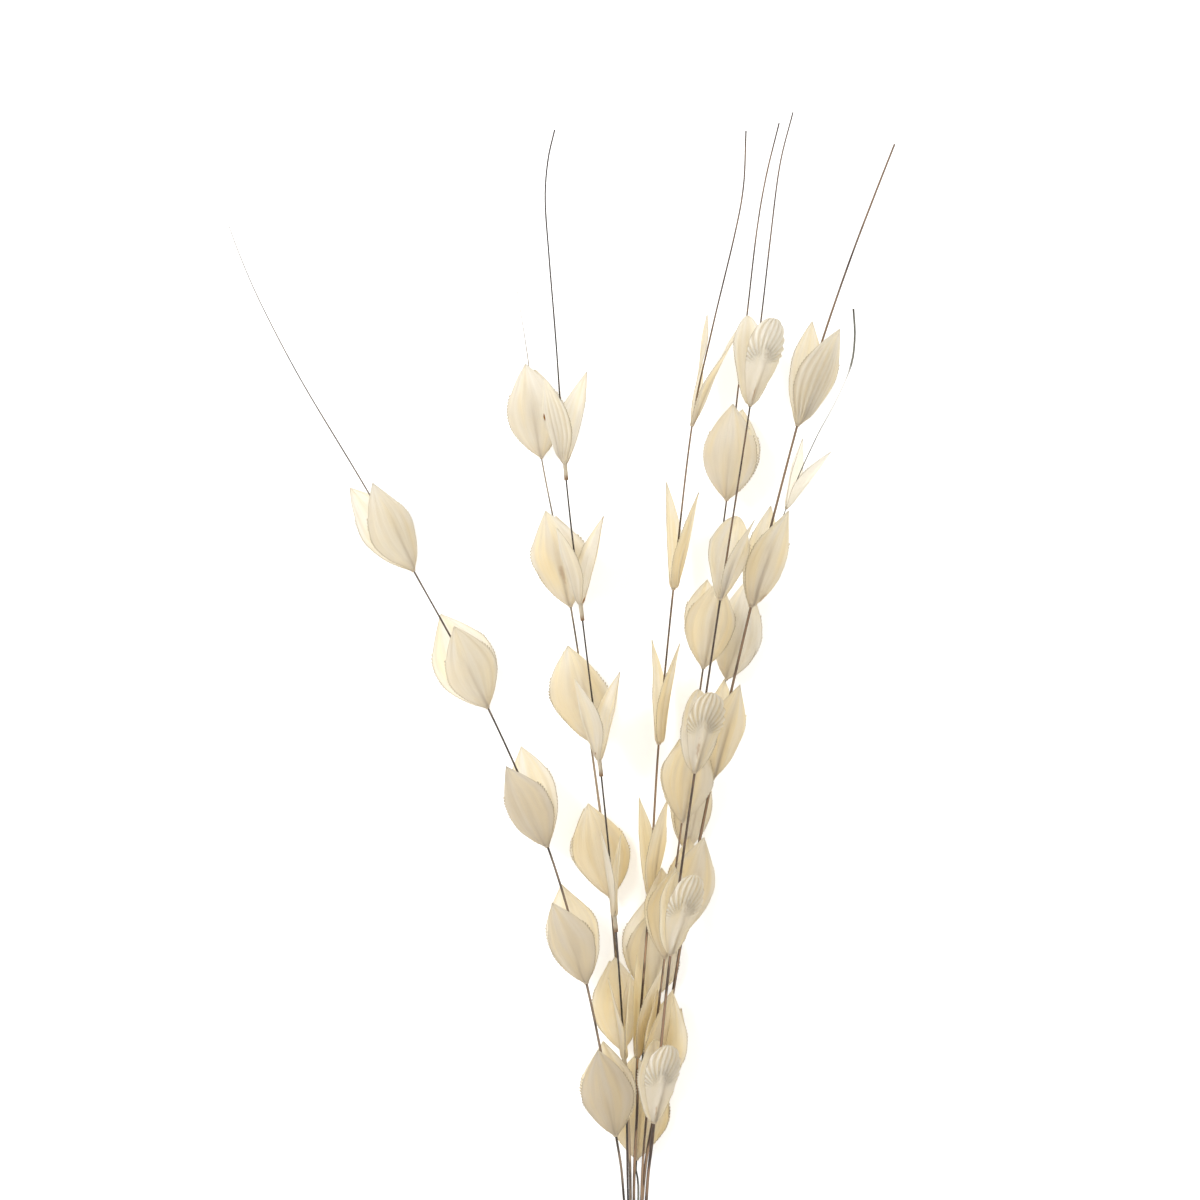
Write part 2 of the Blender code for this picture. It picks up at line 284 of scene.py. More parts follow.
def add(name, data, place=(0, 0, 0)):
    """Links a new object."""
    item = bpy.data.objects.new(name, data)
    item.location = place
    bpy.context.scene.collection.objects.link(item)
    return item


def add_camera():
    camera = bpy.data.cameras.new("camera")
    camera.sensor_width = 1000 * SENSOR
    camera.lens = 1000 * SENSOR * (CAMERA_HEIGHT - VIEW_CENTRE.z) / VIEW_WIDTH
    camera.clip_end = 100
    place = (VIEW_CENTRE.x, VIEW_CENTRE.y, CAMERA_HEIGHT)
    bpy.context.scene.camera = add("camera", camera, place)


def shader_of(material):
    material.use_nodes = True
    return material.node_tree.nodes["Principled BSDF"]


def add_floor():
    sheet = bmesh.new()
    bmesh.ops.create_grid(sheet, x_segments=1, y_segments=1, size=FLOOR_SIZE / 2)
    mesh = bpy.data.meshes.new("floor")
    sheet.to_mesh(mesh)
    sheet.free()
    white = bpy.data.materials.new("floor_white")
    shader = shader_of(white)
    shader.inputs["Base Color"].default_value = (0.9, 0.9, 0.9, 1)
    shader.inputs["Roughness"].default_value = 0.9
    shader.inputs["Specular IOR Level"].default_value = 0.1
    shader.inputs["Emission Color"].default_value = (1, 1, 1, 1)
    shader.inputs["Emission Strength"].default_value = FLOOR_GLOW
    mesh.materials.append(white)
    add("floor", mesh)


def add_lamp():
    """A broad round lamp that faces the middle of the bundle."""
    soft = bpy.data.lights.new("soft", "AREA")
    soft.shape = "DISK"
    soft.size = LAMP_WIDTH
    soft.energy = LAMP_POWER
    lamp = add("soft", soft, LAMP_PLACE)
    lamp.rotation_euler = (-LAMP_PLACE).to_track_quat("-Z", "Y").to_euler()


def add_surroundings():
    """Surroundings that light the bundle slightly warmly, but that the camera sees as white."""
    world = bpy.data.worlds.new("studio")
    bpy.context.scene.world = world
    world.use_nodes = True
    tree = world.node_tree
    seen = tree.nodes["Background"]
    seen.inputs["Color"].default_value = (1, 1, 1, 1)
    lit = tree.nodes.new("ShaderNodeBackground")
    lit.inputs["Color"].default_value = (1, 0.99, 0.97, 1)
    lit.inputs["Strength"].default_value = SURROUNDING_LIGHT
    which = tree.nodes.new("ShaderNodeMixShader")
    path = tree.nodes.new("ShaderNodeLightPath")
    tree.links.new(path.outputs["Is Camera Ray"], which.inputs["Fac"])
    tree.links.new(lit.outputs["Background"], which.inputs[1])
    tree.links.new(seen.outputs["Background"], which.inputs[2])
    tree.links.new(which.outputs["Shader"], tree.nodes["World Output"].inputs["Surface"])


add_camera()
add_floor()
add_lamp()
add_surroundings()
bpy.context.scene.view_settings.view_transform = "Standard"
print("lens", round(bpy.context.scene.camera.data.lens), "mm")

# %% [markdown]
# ## Small tools for shader nodes
# A material here is a tree of nodes, and the same few patterns come back in several of them. Each
# pattern is a node group with named sockets, so that a material reads as a short list. Writing the
# nodes out in every material would work too, but it would hide what differs.

# %% Node helpers
# Outputs that are picked by their place: an Attribute's value, and Texture Coordinate's Object.
ATTRIBUTE_VALUE = 2
OBJECT_PLACE = 3


def connect(tree, value, target):
    """Links an output to an input, or sets the input's value."""
    if isinstance(value, bpy.types.NodeSocket):
        tree.links.new(value, target)
    else:
        target.default_value = value


def node(tree, kind, output=0, settings=(), **inputs):
    """Adds a shader node, sets its inputs by name or by place (i0, i1 ...) and returns an output."""
    made = tree.nodes.new("ShaderNode" + kind)
    for key, value in dict(settings).items():
        setattr(made, key, value)
    for key, value in inputs.items():
        place = int(key[1:]) if key[0] == "i" and key[1:].isdigit() else key.replace("_", " ")
        connect(tree, value, made.inputs[place])
    return made.outputs[output]


def attribute(tree, name):
    """The value that the mesh holds under this name."""
    return node(tree, "Attribute", output=ATTRIBUTE_VALUE, settings={"attribute_name": name})


def split(tree, vector):
    """The X and the Y of a vector."""
    parts = tree.nodes.new("ShaderNodeSeparateXYZ")
    tree.links.new(vector, parts.inputs[0])
    return parts.outputs["X"], parts.outputs["Y"]


def maths(tree, operation, *values):
    numbered = {f"i{place}": value for place, value in enumerate(values)}
    return node(tree, "Math", settings={"operation": operation}, **numbered)


def times(tree, value, factor):
    return maths(tree, "MULTIPLY", value, factor)


def between(tree, value, low, high, start=0.0, end=1.0):
    """Maps value from low..high to start..end, smoothly and with ends held."""
    return node(
        tree,
        "MapRange",
        settings={"interpolation_type": "SMOOTHSTEP"},
        Value=value,
        From_Min=low,
        From_Max=high,
        To_Min=start,
        To_Max=end,
    )


def mixed(tree, factor, first, second, blend="MIX"):
    """Mixes two colours. Places 0, 6 and 7 are a colour mix's Factor, A and B, and 2 its Result."""
    made = tree.nodes.new("ShaderNodeMix")
    made.data_type = "RGBA"
    made.blend_type = blend
    for place, value in ((0, factor), (6, first), (7, second)):
        connect(tree, value, made.inputs[place])
    return made.outputs[2]


def layered(tree, colour, layers):
    """Lays each layer's colour over the ones before it, as strongly as its factor says."""
    for factor, layer in layers:
        colour = mixed(tree, factor, colour, layer)
    return colour


def new_group(name, inputs, outputs):
    """A node group with these named sockets, and its input and output nodes."""
    tree = bpy.data.node_groups.new(name, "ShaderNodeTree")
    for direction, sockets in (("INPUT", inputs), ("OUTPUT", outputs)):
        for title, kind in sockets.items():
            tree.interface.new_socket(title, in_out=direction, socket_type="NodeSocket" + kind)
    return tree, tree.nodes.new("NodeGroupInput").outputs, tree.nodes.new("NodeGroupOutput").inputs


def use(tree, group, **inputs):
    """Places a node group and returns its outputs."""
    made = tree.nodes.new("ShaderNodeGroup")
    made.node_tree = group
    for title, value in inputs.items():
        connect(tree, value, made.inputs[title.replace("_", " ")])
    return made.outputs


# %% [markdown]
# ## Shared patterns
# Fibres run along every husk and every stick: long, thin streaks that come from noise stretched
# along the piece's own length. They read its UV map, in which V runs from the base of the piece to
# its tip. Blotches are soft, uneven patches of age, and read the place on the object instead. Painted
# pictures would be another way, but noise stays sharp at every distance and fits any length.

# %% Fibre and blotch groups
# For each kind of streak: how far its noise is squeezed each way, its detail and roughness, and
# the values of the noise between which it rises from 0 to 1.
STREAKS = {
    "Fine": ((1.0, 1.0, 1.0), 3.0, 0.6, 0.3, 0.7),
    "Broad": ((0.22, 0.6, 1.0), 2.0, 0.5, 0.3, 0.7),
    "Band": ((0.08, 0.5, 1.0), 1.0, 0.5, 0.35, 0.65),
}


def fibre_group():
    """Streaks along V, 0..1: Fine for thin fibres, Broad for folds and Band for wide bands."""
    tree, given, result = new_group(
        "fibres",
        {"UV": "Vector", "Across": "Float", "Along": "Float", "Seed": "Float"},
        {title: "Float" for title in STREAKS},
    )
    u, v = split(tree, given["UV"])
    across = times(tree, u, given["Across"])
    along = times(tree, v, given["Along"])
    place = node(tree, "CombineXYZ", X=across, Y=along, Z=given["Seed"])
    for title, (squeeze, detail, roughness, low, high) in STREAKS.items():
        squeezed = node(
            tree, "VectorMath", settings={"operation": "MULTIPLY"}, i0=place, i1=squeeze
        )
        streaks = node(
            tree, "TexNoise", Vector=squeezed, Scale=1.0, Detail=detail, Roughness=roughness
        )
        tree.links.new(between(tree, streaks, low, high), result[title])
    return tree


def blotch_group():
    """Uneven patches of age in object space, 0..1."""
    tree, given, result = new_group("blotches", {"Size": "Float"}, {"Patch": "Float"})
    place = node(tree, "TexCoord", output=OBJECT_PLACE)
    scale = maths(tree, "DIVIDE", 1.0, given["Size"])
    patch = node(tree, "TexNoise", Vector=place, Scale=scale, Detail=3.0, Roughness=0.55)
    tree.links.new(between(tree, patch, 0.38, 0.66), result["Patch"])
    return tree


FIBRES = fibre_group()
BLOTCHES = blotch_group()
print("node groups:", FIBRES.name, BLOTCHES.name)

# %% [markdown]
# ## The husk
# A dried husk is a thin, matt, slightly waxy skin. Light passes through it and turns warm on the
# way, so its shader mixes a rough skin with a translucent one. Over a cream ground it has long
# fibres, a few broader folds in grey or straw, a thin grey rim, a darker base and small stains, with
# painted shade in the troughs of its relief, painted highlights on its crests and a painted shadow
# of the stem on its upper valves. A picture of a husk would give these too, but all forty pods
# would show the same marks.

# %% Husk material
CREAM = (0.935, 0.925, 0.905, 1)
STRAW = (0.965, 0.908, 0.75, 1)
FOLD_GREY = (0.85, 0.838, 0.81, 1)
FIBRE_PALE = (0.98, 0.97, 0.94, 1)
AGED_CREAM = (0.94, 0.89, 0.77, 1)
BASE_TAN = (0.86, 0.79, 0.66, 1)
# Painted shade for the troughs of the relief, and a painted highlight for its crests that also pales
# bleached pods.
TROUGH_SHADE = (0.74, 0.68, 0.57, 1)
CREST_HIGHLIGHT_AND_BLEACH = (0.99, 0.985, 0.97, 1)
# Painted shade: the stem's shadow through an upper valve, and the shade on some dull upper valves.
SHADE_BROWN = (0.52, 0.46, 0.40, 1)
RIM_GREY = (0.58, 0.53, 0.44, 1)
STAIN_BROWN = (0.42, 0.21, 0.05, 1)
WARM_LIGHT = (1.0, 0.984, 0.945, 1)
TRANSLUCENCE = 0.8


def husk_colour(tree, tone, fibres, along, edge):
    """The colour of a husk's skin, where edge is 0 in its middle and 1 at its edges."""
    stain, shade, groove = (attribute(tree, name) for name in ("stain", "shade", "groove"))
    banded = maths(tree, "MULTIPLY_ADD", fibres["Band"], 0.9, -0.45)
    straw = maths(tree, "ADD", tone, banded)
    fading = maths(tree, "MULTIPLY_ADD", tone, -0.5, 0.2)
    patch = use(tree, BLOTCHES, Size=0.03)["Patch"]
    return layered(
        tree,
        mixed(tree, straw, CREAM, STRAW),
        [
            (maths(tree, "MULTIPLY_ADD", fibres["Broad"], 0.5, fading), FOLD_GREY),
            (times(tree, fibres["Fine"], 0.35), FIBRE_PALE),
            (times(tree, patch, 0.25), AGED_CREAM),
            (between(tree, along, 0.22, 0.0, 0.0, 0.35), BASE_TAN),
            # Painted shade in the troughs of the relief and painted highlight on its crests; the
            # crest colour also pales the bleached pods.
            (times(tree, groove, 0.5), TROUGH_SHADE),
            (times(tree, groove, -0.9), CREST_HIGHLIGHT_AND_BLEACH),
            # Painted shadow of the stem on upper valves, and painted shade with a duller colour on
            # some of them.
            (times(tree, shade, 0.85), SHADE_BROWN),
            (between(tree, edge, 0.965, 0.99, 0.0, 0.6), RIM_GREY),
            (stain, STAIN_BROWN),
        ],
    )


def husk_material():
    material = bpy.data.materials.new("husk")
    shader = shader_of(material)
    tree = material.node_tree
    uv = node(tree, "UVMap", settings={"uv_map": "husk"})
    across, along = split(tree, uv)
    edge = maths(tree, "ABSOLUTE", maths(tree, "MULTIPLY_ADD", across, 2.0, -1.0))
    tone = attribute(tree, "tone")
    fibres = use(tree, FIBRES, UV=uv, Across=50.0, Along=2.5, Seed=times(tree, tone, 37.0))
    colour = husk_colour(tree, tone, fibres, along, edge)
    height = maths(tree, "ADD", fibres["Fine"], times(tree, fibres["Broad"], 1.6))
    bump = node(tree, "Bump", Strength=0.4, Distance=0.0003, Height=height)
    rough = between(tree, fibres["Fine"], 0.0, 1.0, 0.62, 0.5)
    tree.links.new(colour, shader.inputs["Base Color"])
    tree.links.new(bump, shader.inputs["Normal"])
    tree.links.new(rough, shader.inputs["Roughness"])
    shader.inputs["Specular IOR Level"].default_value = 0.35
    through = mixed(tree, 1.0, colour, WARM_LIGHT, blend="MULTIPLY")
    glow = node(tree, "BsdfTranslucent", Color=through, Normal=bump)
    blend = node(tree, "MixShader", Fac=TRANSLUCENCE, i1=shader.outputs["BSDF"], i2=glow)
    tree.links.new(blend, tree.nodes["Material Output"].inputs["Surface"])
    return material


HUSK = husk_material()
print("husk nodes:", len(HUSK.node_tree.nodes))

# %% [markdown]
# ## The sticks
# Each stem is a dry stick with one paler side. Its colour changes from stem to stem between olive,
# tan, brown and nearly black, so one function makes a material for each colour. Fine fibres run
# along it, and the cut end shows pale pith.

# %% Stick materials
# The dark colour of each stick, and that of its paler side.
STICK_COLOURS = {
    "olive_stem": ((0.038, 0.026, 0.019, 1), (0.30, 0.215, 0.15, 1)),
    "tan_stem": ((0.11, 0.08, 0.055, 1), (0.55, 0.41, 0.27, 1)),
    "black_stem": ((0.02, 0.014, 0.013, 1), (0.10, 0.07, 0.057, 1)),
    "brown_stem": ((0.055, 0.031, 0.019, 1), (0.45, 0.29, 0.175, 1)),
    "dark_stem": ((0.042, 0.024, 0.016, 1), (0.34, 0.215, 0.135, 1)),
    "grey_stem": ((0.05, 0.048, 0.04, 1), (0.32, 0.31, 0.25, 1)),
}
PITH = (0.62, 0.52, 0.36, 1)
BLEACHED = (0.93, 0.92, 0.89, 1)

# How far round a stick its paler side is turned, in radians.
PALE_SIDE = 1.3


def stick_material(name, dark, pale):
    material = bpy.data.materials.new(name)
    shader = shader_of(material)
    tree = material.node_tree
    uv = node(tree, "UVMap", settings={"uv_map": "stick"})
    turn, along = split(tree, uv)
    fibres = use(tree, FIBRES, UV=uv, Across=14.0, Along=60.0, Seed=len(name))
    patch = use(tree, BLOTCHES, Size=0.04)["Patch"]
    angle = maths(tree, "MULTIPLY_ADD", turn, 2 * math.pi, -PALE_SIDE)
    wander = maths(tree, "MULTIPLY_ADD", patch, 0.6, -0.3)
    facing_pale = maths(tree, "ADD", maths(tree, "COSINE", angle), wander)
    side = between(tree, facing_pale, 0.65, 0.97, 0.0, 1.0)
    clear = between(tree, along, 0.25, 0.55, 0.95, 0.35)
    colour = layered(
        tree,
        mixed(tree, times(tree, side, clear), dark, pale),
        [
            (times(tree, fibres["Fine"], 0.35), dark),
            (times(tree, patch, 0.2), pale),
            (attribute(tree, "bleach"), BLEACHED),
            (attribute(tree, "end"), PITH),
        ],
    )
    bump = node(tree, "Bump", Strength=0.6, Distance=0.0002, Height=fibres["Fine"])
    tree.links.new(colour, shader.inputs["Base Color"])
    tree.links.new(bump, shader.inputs["Normal"])
    tree.links.new(between(tree, patch, 0.0, 1.0, 0.5, 0.75), shader.inputs["Roughness"])
    return material


STICKS = {name: stick_material(name, *pair) for name, pair in STICK_COLOURS.items()}
print("stick materials:", ", ".join(STICKS))

# %% [markdown]
# ## Following a stem
# A stem runs on one smooth curve through the places of its route. The pods sit where the solids
# have theirs: on the straight line from each pod's base to the next, which is how the solids'
# sticks were divided. Pods on the smooth curve would be easier, but would stand off their solids.

# %% Paths along the stems
# How far up the bare tip the solids' first straight length above the last pod ends.
FIRST_BEND_OF_TIP = 0.33


def smooth_path(route):
    """Many points of the smooth curve through a stem's route."""
    places = [Vector(place) for place in route]
    before = [2 * places[0] - places[1], *places]
    after = [*places, 2 * places[-1] - places[-2]]
    path = [places[0]]
    for index in range(len(places) - 1):
        start, end = places[index], places[index + 1]
        leaving = start + (end - before[index]) / 6
        arriving = end - (after[index + 2] - start) / 6
        path += interpolate_bezier(start, leaving, arriving, end, 17)[1:]
    return path


def place_at(path, level):
    """Where a path crosses Y = level, and its direction there."""
    for low, high in zip(path, path[1:]):
        if level <= high.y:
            break
    share = (level - low.y) / (high.y - low.y)
    return low.lerp(high, share), (high - low).normalized()


def pod_places(stem):
    """The straight run from each pod to the next, as the solids' sticks have it."""
    path = smooth_path(stem.route)
    levels = [pod.base - BEND_BELOW for pod in reversed(stem.pods)]
    levels.append(levels[-1] + FIRST_BEND_OF_TIP * (path[-1].y - levels[-1]))
    return [place_at(path, level)[0] for level in levels]


def stem_radius(stem, level):
    """A high taper keeps a stem thick for most of its length, and a low one thins it early."""
    foot, tip = stem.route[0][1], stem.route[-1][1]
    share = min(1.0, max(0.0, (level - foot) / (tip - foot)))
    return stem.tip_radius + (stem.foot_radius - stem.tip_radius) * (1 - share**stem.taper)


print("points to a stem's path:", [len(smooth_path(stem.route)) for stem in STEMS.values()])

# %% [markdown]
# ## Modelling a stick
# A ring of corners is extruded from one cross-section to the next along the smooth path, and each
# ring is set square to it. The thickness wavers a little, as a grown stick's does. A curve with a
# bevel would be quicker, but it would be perfectly even and has no UV map along its length.

# %% Stems
STICK_SIDES = 10
STICK_STEP = 0.006
PITH_BORDER = 0.0001

# A stick's waver in thickness along its length, and round it, as shares of its radius.
WAVER = 0.08
RIDGES = 0.05

# The last stretch of stem 8 is a dried leaf blade, thicker than the stem under it.
BLADED_STEM = 8
TIP_BLADE = 0.045
BLADE_RADIUS = 0.00045

# The levels along Y between which a stem fades to its palest, and how pale it gets.
FADES = {1: (0.76, 0.90, 0.3), 2: (0.74, 0.80, 0.55), 8: (0.69, 0.73, 0.8)}
UNFADED = (0.0, 1.0, 0.0)


def smoothstep(low, high, value):
    part = min(1.0, max(0.0, (value - low) / (high - low)))
    return part * part * (3 - 2 * part)


def grow(sheet, edges, put):
    """Extrudes a row of edges and lets put place each new corner. Returns the new edges."""
    made = bmesh.ops.extrude_edge_only(sheet, edges=edges)["geom"]
    for item in made:
        if isinstance(item, bmesh.types.BMVert):
            put(item)
    return [item for item in made if isinstance(item, bmesh.types.BMEdge)]


def blade_at(number, tip, level):
    """How much of the leaf blade there is on a stem at this level, 0..1."""
    if number != BLADED_STEM:
        return 0
    return smoothstep(tip - 1.2 * TIP_BLADE, tip - 0.9 * TIP_BLADE, level)


def map_stick(shape, station, length):
    """A UV map: U once round the stick, and V in metres from its foot."""
    layer = shape.loops.layers.uv.new("stick")
    for face in shape.faces:
        turns = [loop.vert[station] / STICK_SIDES for loop in face.loops]
        wraps = max(turns) - min(turns) > 0.5
        for loop, turn in zip(face.loops, turns):
            whole = 1.0 if wraps and turn < 0.5 else 0.0
            loop[layer].uv = (turn + whole, loop.vert[length])


def stick_mesh(number, stem):
    path = smooth_path(stem.route)
    foot, tip = path[0].y, path[-1].y
    count = round((tip - foot) / STICK_STEP)
    low, high, palest = FADES.get(number, UNFADED)
    shape = bmesh.new()
    station = shape.verts.layers.int.new("station")
    length, end, bleach = (
        shape.verts.layers.float.new(name) for name in ("length", "end", "bleach")
    )
    corners = bmesh.ops.create_circle(shape, segments=STICK_SIDES, radius=1.0)["verts"]
    for index, corner in enumerate(corners):
        corner[station] = index
    edges = list(shape.edges)
    for step in range(count + 1):
        place, direction = place_at(path, foot + (tip - foot) * step / count)
        right = direction.cross(Vector((0, 0, 1))).normalized()
        up = right.cross(direction)
        blade = blade_at(number, tip, place.y)
        thick = stem_radius(stem, place.y) * (1 + WAVER * noise.noise(place * 60))
        thick += BLADE_RADIUS * blade
        faded = palest * smoothstep(low, high, place.y) * (1 - blade)

        def on_ring(corner):
            angle = 2 * math.pi * corner[station] / STICK_SIDES
            around = Vector((math.cos(angle), math.sin(angle), place.y * 25))
            ridge = 1 + RIDGES * noise.noise(around)
            corner.co = place + thick * ridge * (math.cos(angle) * right + math.sin(angle) * up)
            corner[length] = place.y - foot
            corner[bleach] = faded

        if step:
            edges = grow(shape, edges, on_ring)
        else:
            for corner in corners:
                on_ring(corner)
    open_edges = [edge for edge in shape.edges if edge.is_boundary]
    ends = bmesh.ops.holes_fill(shape, edges=open_edges)["faces"]
    bmesh.ops.inset_region(shape, faces=ends, thickness=PITH_BORDER, use_even_offset=False)
    for face in ends:
        for corner in face.verts:
            corner[end] = 1.0
    map_stick(shape, station, length)
    bmesh.ops.recalc_face_normals(shape, faces=shape.faces)
    return finish_mesh(f"stick_{number}", shape)


def finish_mesh(name, shape):
    """Moves a finished shape to its place in the frame and makes it a smooth mesh."""
    bmesh.ops.translate(shape, verts=shape.verts, vec=BUNDLE_PLACE)
    for face in shape.faces:
        face.smooth = True
    mesh = bpy.data.meshes.new(name)
    shape.to_mesh(mesh)
    shape.free()
    return mesh


def place_piece(name, mesh, material, node_name, slot):
    """Links a piece, lets it ride on the bundle and stand for its solid."""
    mesh.materials.append(material)
    piece = add(name, mesh)
    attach(piece, "root")
    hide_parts(node_name)
    return piece


for number, stem in STEMS.items():
    mesh = stick_mesh(number, stem)
    look = STICKS["grey_stem" if number == BLADED_STEM else stem.colour]
    place_piece(f"stick_{number}", mesh, look, f"stem_{number}", stem.colour)
    print(f"stick_{number}:", len(mesh.polygons), "faces")

# %% [markdown]
# ## Relief of a valve
# A pod's husk opens in two valves. Each is a shallow trough with a crease, a few long soft folds
# and a wavering outline, and fine saw teeth run up both edges for about two thirds of their length.
# Four upper valves are curled like shells instead: they have no teeth, a keel rises from the base
# and ribs fan out from its end. Two more are pleated. Displacing a plain surface with textures
# would be another way, but the teeth and the ribs belong to the outline, so they are modelled.

# %% Levels, teeth and folds
HUSK_THICKNESS = 0.00035

# Teeth to an edge, how far each one stands out, and the shares of a valve's length between which
# they stand. Each tooth has three levels and stands out further at each.
TEETH = 20
TOOTH = 0.001
TOOTHED_FROM, TOOTHED_TO = 0.05, 0.70
TOOTH_ROWS = (0.0, 0.8, 0.95)
TOOTH_LEVELS = len(TOOTH_ROWS) * TEETH

# Levels are shares of a valve's length. Three come before the teeth, so that every third level
# still starts a tooth.
LEVELS = [0.0, 0.017, 0.034]
LEVELS += [
    TOOTHED_FROM + (TOOTHED_TO - TOOTHED_FROM) * row / TOOTH_LEVELS
    for row in range(TOOTH_LEVELS + 1)
]
LEVELS += [0.725, 0.75, 0.775, 0.80, 0.825, 0.85, 0.875, 0.90, 0.925, 0.95, 0.975, 0.99, 1.0]

# Depths and heights of the relief, in metres, but for the crease's, which is a share of the width.
CREASE = 0.11
SOFT_FOLDS = 0.0004
SMALL_FOLDS = 0.0002
SWELL = 0.0014
PLEAT = 0.0014
KEEL = 0.0018
RIB = 0.0017

# One valve: the side of its pod that it is on (1 upper, -1 under), its length, outline and extra
# twist, a seed for its own noise, and whether it is pleated.
Valve = namedtuple("Valve", "side length outline twist seed pleated")


def drift(seed, *place):
    """Smooth noise, -1..1, that differs from seed to seed."""
    return noise.noise(Vector((*place, 0.0, 0.0)[:3]) + Vector((17.3 * seed, 5.1 * seed, 9.7 * seed)))


def ridges(turn, sharp):
    """Narrow ridges with broad troughs between them, one for each full turn, 0..1."""
    return (0.5 + 0.5 * math.cos(turn)) ** sharp


def folds(seed, wide, across, share):
    """One crease from base to tip, and long soft folds beside it.

    Returns the height, and the groove: painted shade along furrows and wrinkles.
    """
    line = 0.3 * drift(seed, 4.4) + 0.1 * across
    crease = -CREASE * (1 + drift(seed, 8.8)) * wide * math.hypot(across - line, 0.07)
    soft = SOFT_FOLDS * drift(seed, 3.5 * across, 1.2 * share)
    soft += SMALL_FOLDS * drift(seed, 9 * across, share)
    swell = SWELL * drift(seed, 1.2 * across, 2.2 * share)
    height = crease * smoothstep(0.0, 0.4, share) + soft + swell * math.sin(math.pi * share)
    bent = across + 0.25 * share * drift(seed, 7.7)
    furrow = smoothstep(0.0, 0.45, drift(seed + 2, 5.5 * bent, 0.9 * share))
    wrinkle = smoothstep(0.05, 0.5, drift(seed + 5, 15 * bent, 1.6 * share))
    return height, 0.35 * furrow + 0.25 * wrinkle


def pleats(seed, across, share):
    """Strong, narrow ridges from base to tip. Returns the height, and the groove: painted shade in
    the troughs and a painted highlight on the ridges.
    """
    ridge = ridges(27 * across - 6 * across * share + seed, 1.5)
    held = smoothstep(0.0, 0.12, share) * (1 - smoothstep(0.6, 0.95, share))
    return PLEAT * ridge * held, 1.4 * (0.55 - ridge) * held


def shell_ribs(length, outline, across, share):
    """A keel that runs up from the base, and curved ribs that fan out from its end.

    Returns the height, and the groove: 1 in a trough, painted as shade, and below 0 on a crest,
    painted as a highlight.
    """
    aside = (across + 0.25) * outline.width * length
    along = (share - 0.44) * length
    angle = math.atan2(aside, along)
    reach = math.hypot(aside, along)
    near = smoothstep(0.002, 0.014, reach)
    fanned = near * smoothstep(-1.7, -1.2, angle) * (1 - smoothstep(0.9, 1.5, angle))
    ridge = ridges(27 * angle + 8 * math.sin(angle) - 200 * reach, 1.6)
    line = -0.45 + 0.6 * share
    keel = KEEL * math.exp(-(((across - line) / 0.16) ** 2)) * (1 - smoothstep(0.38, 0.56, share))
    raised = keel * smoothstep(0.0, 0.15, share)
    return RIB * ridge * fanned + raised, 2.1 * (0.5 - ridge) * fanned - 300 * raised


print(len(LEVELS), "levels to a valve, with", TEETH, "teeth on an edge")

# %% [markdown]
# ## The shape of a valve
# Every corner of a valve has a column, from edge to edge, and a level, from the collar to the tip.
# The same rule that shaped the solids places it, and the relief is added along the surface's own
# outward direction. Wrapping a flat sheet round the solids would be another way, but it would
# take on their flat strips.

# %% Placing a corner
# The share of a valve's length over which it opens from the collar's round section.
OPENING = 0.08

# How far the edges and the whole width wander, and how far the tip bends, as shares.
EDGE_WANDER = 0.12
WIDTH_WANDER = 0.06
TIP_BEND = 0.02


def half_width(outline, length, ring, share):
    """Half the width of a valve, which starts as wide as the collar."""
    leaf = math.sin(math.pi * share**outline.skew) if 0 < share < 1 else 0.0
    return outline.width * length * leaf**outline.fullness + ring * (1 - share) ** 4


def facing(pod, valve, share):
    """The roll of a valve at this share of its length, and its outward and sideways directions."""
    roll = math.radians(pod.roll + share * valve.twist)
    outward = valve.side * Vector((math.sin(roll), 0, math.cos(roll)))
    return roll, outward, Vector((math.cos(roll), 0, -math.sin(roll)))


def tooth_at(valve, across, level):
    """How far a tooth stands out here, which is 0 off the edges and on a shell."""
    share = LEVELS[level]
    on_edge = abs(across) > 0.999 and TOOTHED_FROM < share < TOOTHED_TO
    if not on_edge or valve.outline is SHELL:
        return 0.0
    deep = max(0.2, 0.9 + 0.9 * drift(valve.seed, 14 * share, across))
    return TOOTH * TOOTH_ROWS[level % len(TOOTH_ROWS)] * deep


def relief_at(valve, wide, across, share):
    """The height of a valve's relief, and its groove: the painted shade and highlights of that
    relief.
    """
    if valve.outline is SHELL:
        return shell_ribs(valve.length, valve.outline, across, share)
    height, groove = folds(valve.seed, wide, across, share)
    if valve.pleated:
        pleat, groove = pleats(valve.seed, across, share)
        height += pleat
    return height, groove


